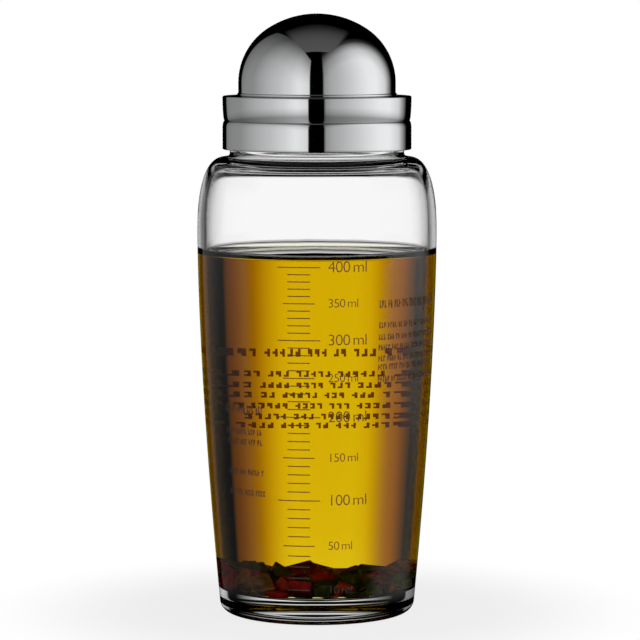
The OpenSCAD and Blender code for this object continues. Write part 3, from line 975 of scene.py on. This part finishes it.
class SHAKER_OT_steel(bpy.types.Operator):
    """Turn the two steel rings of the collar and the steel dome of the cap"""

    bl_idname = "shaker.steel"
    bl_label = "Steel Rings and Dome"

    def execute(self, context):
        steel = context.scene.shaker_steel
        polish = polished_steel(context.scene.shaker_colours)
        rings = (
            ("lower_ring", "collar", "neck_collar", self.lower_ring(steel), 0),
            ("upper_ring", "collar", "pour_ring", self.upper_ring(steel), 0),
        )
        turn_rings(rings, "polished_steel", polish)
        dome = lathe(self.dome(steel))
        finish_piece(dome, "dome", "cap", "polished_steel", polish, "dome_shell")
        return {"FINISHED"}

    def lower_ring(self, steel):
        """A straight ring that draws in to the waist at its top."""
        ring_r, bottom, top = high("neck_collar").x, low("neck_collar").z, high("neck_collar").z
        waist_r = ring_r - steel.waist_depth
        edge = 0.3 * MM
        straight = run((ring_r, bottom + edge), (ring_r, top - steel.shoulder_h), 8)
        shoulder_points = [
            (waist_r + steel.waist_depth * math.cos(a * DEG),
             top - steel.shoulder_h * (1 - math.sin(a * DEG)))
            for a in range(0, 91, 6)
        ]
        return (
            [(steel.inner_r, bottom)]
            + arc(ring_r - edge, bottom + edge, edge, -90, 0, 5)
            + straight
            + shoulder_points
            + [(steel.inner_r, top)]
        )

    def upper_ring(self, steel):
        """A ring that flares up from the waist to its flat top and turns down into the well."""
        ring_r, bottom, top = high("pour_ring").x, low("pour_ring").z, high("pour_ring").z
        waist_r = ring_r - steel.waist_depth
        lip_r = steel.well_r + steel.sheet_t
        flare_h = top - steel.edge_radius - bottom
        half = steel.sheet_t / 2
        flare = [
            (waist_r + steel.waist_depth * math.sin(a * DEG), bottom + flare_h * (1 - math.cos(a * DEG)))
            for a in range(0, 91, 5)
        ]
        edge = arc(ring_r - steel.edge_radius, top - steel.edge_radius, steel.edge_radius, 0, 90, 8)
        lip = arc(steel.well_r + half, top - half, half, 90, 180, 6)
        return (
            flare
            + edge[1:]
            + run(edge[-1], lip[0], 6)
            + lip
            + [
                (steel.well_r, top - steel.lip_h),
                (lip_r, top - steel.lip_h),
                (lip_r, top - steel.sheet_t),
                (steel.inner_r, top - steel.sheet_t),
                (steel.inner_r, bottom),
            ]
        )

    def dome(self, steel):
        """A shell from the top of the crown down to the rolled foot and up again inside."""
        foot, top = low("dome_shell").z, high("dome_shell").z
        bead_r = high("dome_shell").x
        dome_r = bead_r - steel.bead_out
        spring = top - steel.crown_rise - steel.side_radius
        side_centre_r = dome_r - steel.side_radius
        extra = (side_centre_r ** 2 + steel.crown_rise ** 2) / (2 * steel.crown_rise)
        crown_r = steel.side_radius + extra
        crown_z = top - crown_r
        meet = math.atan2(spring - crown_z, side_centre_r) / DEG

        def face(depth):
            """The dome's face at a depth below its outside, from the side up to the axis."""
            return (
                arc(side_centre_r, spring, steel.side_radius - depth, 0, meet, 30)
                + arc(0, crown_z, crown_r - depth, meet, 90, 14)[1:]
            )

        outside, inside = face(0), face(steel.dome_t)
        outside[-1] = (0, top)
        inside[-1] = (0, top - steel.dome_t)
        edge = steel.bead_h / 2
        bead_end = math.acos(1 - steel.bead_out / edge) / DEG
        bead = arc(bead_r - edge, foot + edge, edge, bead_end, -90, 12)
        return (
            outside[::-1]
            + run((dome_r, spring), bead[0], 6)
            + bead
            + [(dome_r - steel.dome_t, foot)]
            + run((dome_r - steel.dome_t, foot), inside[0], 4)
            + inside
        )


class SHAKER_OT_plastic(bpy.types.Operator):
    """Turn the moulded plastic pieces: the collar's core, the strainer's frame and the cap's plug"""

    bl_idname = "shaker.plastic"
    bl_label = "Moulded Pieces"

    def execute(self, context):
        plastic, steel = context.scene.shaker_plastic, context.scene.shaker_steel
        colours = context.scene.shaker_colours
        pieces = (
            ("core", "collar", "collar_core", self.core(plastic, steel), plastic.edge),
            ("strainer_rim", "strainer", "strainer_frame", self.strainer_rim(plastic), plastic.edge),
            ("cap_stopper", "cap", "cap_plug", self.stopper(plastic, steel), plastic.edge),
        )
        turn_rings(pieces, "dark_plastic", moulded_abs(colours))
        frame["nodes"]["strainer_plate"].material_slots[0].material = punched_steel(colours)
        return {"FINISHED"}

    def core(self, plastic, steel):
        """The skirt round the neck, the pouring well, the strainer's shelf and the plug tube, with
        the groove of the neck seal."""
        outer_r = high("collar_core").x
        skirt_r = outer_r - plastic.skirt_t
        skirt_z = low("neck_collar").z + plastic.skirt_rise
        deck_z = high("rim_gasket").z
        tube_r = tube_outer_r(plastic)
        bottom = low("collar_core").z
        shelf_z = high("strainer_plate").z
        shelf_r = tube_r - plastic.tube_wall - plastic.shelf_w
        top = high("pour_ring").z
        lip_r = steel.well_r + steel.sheet_t
        seal_low, seal_high = low("neck_seal").z, high("neck_seal").z
        return [
            (outer_r, skirt_z),
            (outer_r, top - steel.sheet_t),
            (lip_r, top - steel.sheet_t),
            (lip_r, top - steel.lip_h),
            (steel.well_r, top - steel.lip_h),
            (steel.well_r, shelf_z + plastic.shelf_t),
            (shelf_r, shelf_z + plastic.shelf_t),
            (shelf_r, shelf_z),
            (tube_r - plastic.tube_wall, shelf_z),
            (tube_r - plastic.tube_wall, bottom),
            (tube_r, bottom),
            (tube_r, seal_low),
            (tube_r - plastic.groove, seal_low),
            (tube_r - plastic.groove, seal_high),
            (tube_r, seal_high),
            (tube_r, deck_z),
            (skirt_r, deck_z),
            (skirt_r, skirt_z),
        ]

    def strainer_rim(self, plastic):
        """The ring that carries the perforated plate."""
        bottom, top = low("strainer_frame").z, high("strainer_frame").z
        outer_r = high("strainer_frame").x
        inner_r = outer_r - plastic.frame_w
        bevel = 0.5 * MM
        return [
            (inner_r, bottom + bevel), (inner_r + bevel, bottom), (outer_r - bevel, bottom),
            (outer_r, bottom + bevel), (outer_r, top), (inner_r, top),
        ]

    def stopper(self, plastic, steel):
        """The plug that closes the pouring well, with the groove of its ring, and the part of it
        that sits in the dome."""
        top_r, bottom, top = high("cap_plug").x, low("cap_plug").z, high("cap_plug").z
        seal_low, seal_high, seal_r = low("cap_seal").z, high("cap_seal").z, high("cap_seal").x
        plug_r = steel.well_r - plastic.plug_gap
        groove_r = seal_r - (seal_high - seal_low)
        rest_z = low("dome_shell").z + 0.2 * MM
        bevel = 0.6 * MM
        return [
            (plug_r - plastic.plug_wall, bottom), (plug_r - bevel, bottom), (plug_r, bottom + bevel),
            (plug_r, seal_low), (groove_r, seal_low), (groove_r, seal_high), (plug_r, seal_high),
            (plug_r, rest_z), (top_r, rest_z), (top_r, top), (plug_r - plastic.plug_wall, top),
        ]


class SHAKER_OT_seals(bpy.types.Operator):
    """Turn the silicone pieces: the neck seal with its lamellae, the rim gasket and the cap's ring"""

    bl_idname = "shaker.seals"
    bl_label = "Silicone Seals"

    def execute(self, context):
        plastic = context.scene.shaker_plastic
        pieces = (
            ("lamella_seal", "collar", "neck_seal", self.lamellae(plastic), 0.08 * MM),
            ("gasket", "collar", "rim_gasket", self.gasket(plastic), 0.2 * MM),
            ("cap_ring", "cap", "cap_seal", self.ring(), 0),
        )
        turn_rings(pieces, "clear_silicone", moulded_silicone(context.scene.shaker_colours))
        return {"FINISHED"}

    def lamellae(self, plastic):
        """A sleeve in the plug tube's groove, with lamellae that bear on the neck and point up."""
        bottom, top, tip_r = low("neck_seal").z, high("neck_seal").z, high("neck_seal").x
        tube_r = tube_outer_r(plastic)
        inner_r, root_r = tube_r - plastic.groove, tube_r + 0.1 * MM
        root_h, tip_h = plastic.lamella_root, plastic.lamella_tip
        count = 3
        pitch = (top - bottom) / count
        points = [(inner_r, bottom), (root_r, bottom)]
        for i in range(count):
            middle = bottom + (i + 0.5) * pitch
            points += [
                (root_r, middle - root_h / 2),
                (tip_r, middle + tip_h / 2),
                (tip_r, middle + tip_h * 3 / 2),
                (root_r, middle + root_h / 2),
            ]
        return points + [(root_r, top), (inner_r, top)]

    def gasket(self, plastic):
        """A flat ring round the plug tube, on the rim of the glass."""
        inner_r = tube_outer_r(plastic)
        outer_r, bottom, top = high("rim_gasket").x, low("rim_gasket").z, high("rim_gasket").z
        return [(inner_r, bottom), (outer_r, bottom), (outer_r, top), (inner_r, top)]

    def ring(self):
        """The round section of the cap's ring."""
        bottom, top, outer_r = low("cap_seal").z, high("cap_seal").z, high("cap_seal").x
        radius = (top - bottom) / 2
        return arc(outer_r - radius, bottom + radius, radius, 0, 360, 24)[:-1]


class SHAKER_OT_studio(bpy.types.Operator):
    """Set the camera, the pale floor and the studio's soft light"""

    bl_idname = "shaker.studio"
    bl_label = "Studio"

    def execute(self, context):
        studio = context.scene.shaker_studio
        self.camera(context, studio)
        self.floor(studio, context.scene.shaker_colours)
        self.light(context)
        context.scene.view_settings.view_transform = "Standard"
        return {"FINISHED"}

    def camera(self, context, studio):
        """A camera in front of the bottle that looks a little down on it."""
        deselect()
        back = studio.distance * math.cos(studio.tilt)
        up = studio.distance * math.sin(studio.tilt)
        bpy.ops.object.camera_add(
            location=(studio.aim_x, -back, studio.aim_z + up), rotation=(90 * DEG - studio.tilt, 0, 0)
        )
        camera = context.object
        camera.data.lens = studio.lens_mm
        camera.data.clip_start = 10 * MM
        context.scene.camera = camera

    def floor(self, studio, colours):
        """A pale matt floor that takes the bottle's shadow and turns plain white farther out. Glass
        and steel see a painted shade under the bottle, a black disc that stands for its shadow there,
        and farther out they see the studio in its place."""
        deselect()
        bpy.ops.mesh.primitive_circle_add(
            vertices=96, radius=studio.floor_r, fill_type="NGON", location=(0, 0, -0.05 * MM)
        )
        floor = bpy.context.object
        floor.name = "floor"
        material, tree = new_material("pale_floor")
        place = add_node(tree, "ShaderNodeTexCoord").outputs["Object"]
        reach = output_of(tree, "ShaderNodeVectorMath", {0: place}, operation="LENGTH")
        path = add_node(tree, "ShaderNodeLightPath").outputs
        far = output_of(
            tree, "ShaderNodeMapRange", {"Value": reach, "From Min": 50 * MM, "From Max": 120 * MM},
            interpolation_type="SMOOTHSTEP",
        )
        whiteness = output_of(tree, "ShaderNodeMapRange", {"Value": far, "To Min": 0.82, "To Max": 1.0})
        matt = output_of(tree, "ShaderNodeBsdfDiffuse", {"Color": colours.floor})
        white = output_of(tree, "ShaderNodeEmission", {"Color": (1, 1, 1), "Strength": 1.0})
        seen = output_of(tree, "ShaderNodeMixShader", {0: whiteness, 1: matt, 2: white})
        look = output_of(tree, "ShaderNodeMixShader", {0: path["Is Camera Ray"], 1: matt, 2: seen})
        # Painted shade: within 45 mm of the axis, fading out by 60 mm, glass and steel see the floor as
        # a black disc that stands for the bottle's shadow on it
        past_painted_shade = output_of(
            tree, "ShaderNodeMapRange", {"Value": reach, "From Min": 45 * MM, "From Max": 60 * MM},
            interpolation_type="SMOOTHSTEP",
        )
        # The black of that painted shade under the bottle
        dark = output_of(tree, "ShaderNodeEmission", {"Strength": 0.0})
        clear = output_of(tree, "ShaderNodeBsdfTransparent")
        through = output_of(tree, "ShaderNodeMixShader", {0: past_painted_shade, 1: dark, 2: clear})
        optical = output_of(
            tree, "ShaderNodeMath", {0: path["Is Glossy Ray"], 1: path["Is Transmission Ray"]},
            operation="MAXIMUM",
        )
        final = output_of(tree, "ShaderNodeMixShader", {0: optical, 1: look, 2: through})
        floor.data.materials.append(finish_material(material, Surface=final))

    def light(self, context):
        """The studio as the bottle sees it. Steel and glass see a large soft box on each side, and
        a dim ceiling. Glass also sees what stands behind the bottle, a white backdrop that darkens
        towards its edges, and the white table. What is seen through the oil is amber towards the
        edges. The camera sees plain white."""
        world = bpy.data.worlds.new("studio")
        world.use_nodes = True
        context.scene.world = world
        tree = world.node_tree
        tree.nodes.clear()
        toward = add_node(tree, "ShaderNodeTexCoord").outputs["Generated"]
        parts = add_node(tree, "ShaderNodeSeparateXYZ", {0: toward}).outputs
        path = add_node(tree, "ShaderNodeLightPath").outputs
        front = output_of(tree, "ShaderNodeMath", {0: parts["Y"], 1: -1.0}, operation="MULTIPLY")
        turn = output_of(tree, "ShaderNodeMath", {0: parts["X"], 1: front}, operation="ARCTAN2")
        climb = output_of(tree, "ShaderNodeMath", {0: parts["Z"]}, operation="ARCSINE")
        azimuth = output_of(
            tree, "ShaderNodeMapRange", {"Value": turn, "From Min": -180 * DEG, "From Max": 180 * DEG}
        )
        rise = output_of(
            tree, "ShaderNodeMapRange", {"Value": climb, "From Min": -90 * DEG, "From Max": 90 * DEG}
        )

        def graded(socket, stops):
            """Light along a socket from 0 to 1: each stop has a grey or a colour."""
            node = add_node(tree, "ShaderNodeValToRGB", {"Fac": socket})
            band = node.color_ramp
            while len(band.elements) > 1:
                band.elements.remove(band.elements[-1])
            for i, (position, value) in enumerate(stops):
                element = band.elements[0] if i == 0 else band.elements.new(position)
                element.position = position
                element.color = (*value, 1) if isinstance(value, tuple) else (value, value, value, 1)
            return node.outputs["Color"]

        def around(stops):
            """Light by direction: each stop is degrees to the right of the camera."""
            return graded(azimuth, [((degrees + 180) / 360, value) for degrees, value in stops])

        def upward(stops):
            """Light by height: each stop is degrees above the horizon."""
            return graded(rise, [((degrees + 90) / 180, value) for degrees, value in stops])

        def below(plane, stops):
            """Light by the sine of the angle below a soft box's straight top edge."""
            size = math.sqrt(sum(share * share for share in plane))
            square = [share / size for share in plane]
            depth = output_of(
                tree, "ShaderNodeVectorMath", {0: toward, 1: square}, operation="DOT_PRODUCT"
            )
            return graded(depth, stops)

        def layered(light, *layers):
            """A light with others blended over it in turn: each has its mode, itself and its share."""
            for mode, layer, share in layers:
                light = output_of(
                    tree, "ShaderNodeMix", {"Factor": share, "A": light, "B": layer},
                    data_type="RGBA", blend_type=mode,
                )
            return light

        left_fall = below(
            (-2.31, -0.463, -1),
            [(0, 0), (0.006, 0.17), (0.07, 0.24), (0.31, 0.56), (0.57, 0.84), (0.8, 0.96), (1, 1)],
        )
        right_fall = below(
            (2.33, -1.22, -1), [(0, 0), (0.1, 0.04), (0.2, 0.3), (0.32, 0.63), (0.56, 0.96), (0.8, 1)]
        )
        left = [(-107, 0.31), (-80, 0.49), (-57, 0.64), (-40, 0.83), (-26, 1.12)]
        right = [(19, 0.46), (32, 0.55), (51, 0.72), (66, 0.87), (81, 1.0), (98, 1.03)]
        steel_left = around([(-145, 0), (-144.6, 0.33)] + left + [(-11, 1.3), (-10, 0)])
        steel_right = around([(9.5, 0), (10, 0.33)] + right + [(119, 0.8), (133, 0.3), (140, 0)])
        glass_left = around([(-127, 0), (-125.5, 0.33)] + left + [(-11, 1.2), (10, 1.0), (20, 0)])
        glass_right = around([(0, 0), (9, 0.33)] + right + [(115, 0.85), (123, 0.6), (126, 0)])

        in_oil = output_of(
            tree, "ShaderNodeMath", {0: path["Transmission Depth"], 1: 4.5}, operation="GREATER_THAN"
        )
        oil_sides = around([
            (-180, (0.3, 0.12, 0.06)), (-112, (0.4, 0.16, 0.08)), (-106, 1.0), (101, 1.0),
            (106, (0.4, 0.25, 0.2)), (109, (0.17, 0.08, 0.05)), (180, (0.17, 0.08, 0.05)),
        ])
        above_table = output_of(
            tree, "ShaderNodeMapRange", {"Value": climb, "From Min": -20 * DEG, "From Max": -10 * DEG}
        )
        steel_boxes = layered(
            steel_left,
            ("MULTIPLY", left_fall, 1.0),
            ("ADD", layered(steel_right, ("MULTIPLY", right_fall, 1.0)), 1.0),
            ("MULTIPLY", upward([(-12, 0.4), (-5, 1.0)]), 1.0),
        )
        glass_boxes = layered(
            glass_left,
            ("MULTIPLY", left_fall, 1.0),
            ("ADD", layered(glass_right, ("MULTIPLY", right_fall, 1.0)), 1.0),
            ("MULTIPLY", above_table, 1.0),
            ("MULTIPLY", oil_sides, in_oil),
        )

        # The ceiling is a level strip, so its light goes by where a ray meets a level plane
        over = output_of(tree, "ShaderNodeMath", {0: parts["Z"], 1: 0.02}, operation="MAXIMUM")
        ahead = output_of(tree, "ShaderNodeMath", {0: front, 1: over}, operation="DIVIDE")
        aside = output_of(tree, "ShaderNodeMath", {0: parts["X"], 1: over}, operation="DIVIDE")
        across = output_of(tree, "ShaderNodeMath", {0: aside}, operation="ABSOLUTE")
        along = output_of(tree, "ShaderNodeMapRange", {"Value": ahead, "From Min": -1, "From Max": 1})
        within = output_of(
            tree, "ShaderNodeMapRange", {"Value": across, "From Min": 0.52, "From Max": 0.4},
            interpolation_type="SMOOTHSTEP",
        )
        strip = graded(
            along, [(0.15, 0), (0.275, 0.023), (0.4, 0.055), (0.55, 0.085), (0.806, 0.1), (0.81, 0)]
        )
        ceiling = layered(strip, ("MULTIPLY", within, 1.0))

        backdrop = around([
            (-180, 1.0), (-171, 1.0), (-165, 0.75), (-159, 0.4), (-152, 0.17), (-146, 0.07),
            (-143.5, 0.03), (-143, 0), (137, 0), (141, 0.08), (148, 0.28), (156, 0.62), (166, 0.9),
            (172, 1.0), (180, 1.0),
        ])
        oil_backdrop = around([
            (-180, (0.95, 0.93, 0.95)), (-168, (0.94, 0.93, 0.9)), (-163, (0.88, 0.8, 0.7)),
            (-159.5, (0.72, 0.58, 0.5)), (-157, (0.58, 0.41, 0.3)), (-155, (0.49, 0.3, 0.2)),
            (-152.5, (0.4, 0.21, 0.12)), (-148.5, (0.33, 0.15, 0.1)), (-146, (0.25, 0.11, 0.07)),
            (-143, (0.15, 0.07, 0.03)), (-139, (0.06, 0.03, 0.01)), (-137, 0), (142, 0),
            (143.7, (0.07, 0.03, 0.03)), (145, (0.12, 0.05, 0.04)), (148, (0.16, 0.066, 0.05)),
            (151.5, (0.22, 0.1, 0.06)), (156, (0.32, 0.18, 0.1)), (159, (0.43, 0.26, 0.2)),
            (161.5, (0.56, 0.39, 0.3)), (165, (0.74, 0.6, 0.5)), (169, (0.9, 0.83, 0.8)),
            (173, (0.97, 0.94, 0.95)), (180, (0.95, 0.93, 0.95)),
        ])
        table = around([(-180, 1.0), (-110, 1.0), (-90, 0), (90, 0), (110, 1.0), (180, 1.0)])
        steep = output_of(tree, "ShaderNodeMath", {0: climb, 1: -19 * DEG}, operation="LESS_THAN")
        backdrop_rise = upward([
            (-90, 0), (-80, 0.03), (-74, 0.3), (-68, 0.85), (-60, 1.0), (-37, 1.0), (-33, 0.45),
            (-27, 0.5), (-25, 0), (-21, 0), (-18.5, 0.55), (-9, 0.6), (-6.5, 1.0), (0, 1.0), (2, 0),
            (9.5, 0), (11, 0.7), (14, 0.7), (16, 0),
        ])
        behind = layered(
            backdrop,
            ("MIX", oil_backdrop, in_oil),
            ("MIX", table, steep),
            ("MULTIPLY", backdrop_rise, 1.0),
            ("MULTIPLY", path["Is Transmission Ray"], 1.0),
        )
        final = layered(
            steel_boxes,
            ("MIX", glass_boxes, path["Is Transmission Ray"]),
            ("ADD", behind, 1.0),
            ("LIGHTEN", ceiling, 1.0),
            ("MIX", (1, 1, 1), path["Is Camera Ray"]),
        )
        background = output_of(tree, "ShaderNodeBackground", {"Color": final, "Strength": 1.0})
        add_node(tree, "ShaderNodeOutputWorld", {"Surface": background})


class SHAKER_PT_panel(bpy.types.Panel):
    """Lists the steps that make the bottle, and their settings"""

    bl_label = "Dressing Shaker"
    bl_idname = "SHAKER_PT_panel"
    bl_space_type = "VIEW_3D"
    bl_region_type = "UI"
    bl_category = "Dressing Shaker"

    def draw(self, context):
        for operator in OPERATORS:
            self.layout.operator(operator.bl_idname)
        for name, group in SETTINGS.items():
            box = self.layout.box()
            for setting in group.__annotations__:
                box.prop(getattr(context.scene, name), setting)


SETTINGS = {
    "shaker_glass": ShakerGlass,
    "shaker_dressing": ShakerDressing,
    "shaker_print": ShakerPrint,
    "shaker_steel": ShakerSteel,
    "shaker_plastic": ShakerPlastic,
    "shaker_studio": ShakerStudio,
    "shaker_colours": ShakerColours,
}
OPERATORS = (
    SHAKER_OT_studio,
    SHAKER_OT_glass,
    SHAKER_OT_oil,
    SHAKER_OT_dice,
    SHAKER_OT_print,
    SHAKER_OT_steel,
    SHAKER_OT_plastic,
    SHAKER_OT_seals,
)


def register():
    """Registers the settings, the operators and the panel."""
    for name, group in SETTINGS.items():
        bpy.utils.register_class(group)
        setattr(bpy.types.Scene, name, PointerProperty(type=group))
    for cls in (*OPERATORS, SHAKER_PT_panel):
        bpy.utils.register_class(cls)


def unregister():
    """Takes away what register added."""
    for cls in (SHAKER_PT_panel, *reversed(OPERATORS)):
        bpy.utils.unregister_class(cls)
    for name, group in reversed(SETTINGS.items()):
        delattr(bpy.types.Scene, name)
        bpy.utils.unregister_class(group)


def main():
    """Makes the studio and every piece."""
    register()
    for operator in OPERATORS:
        category, name = operator.bl_idname.split(".")
        getattr(getattr(bpy.ops, category), name)()


if __name__ == "__main__":
    main()
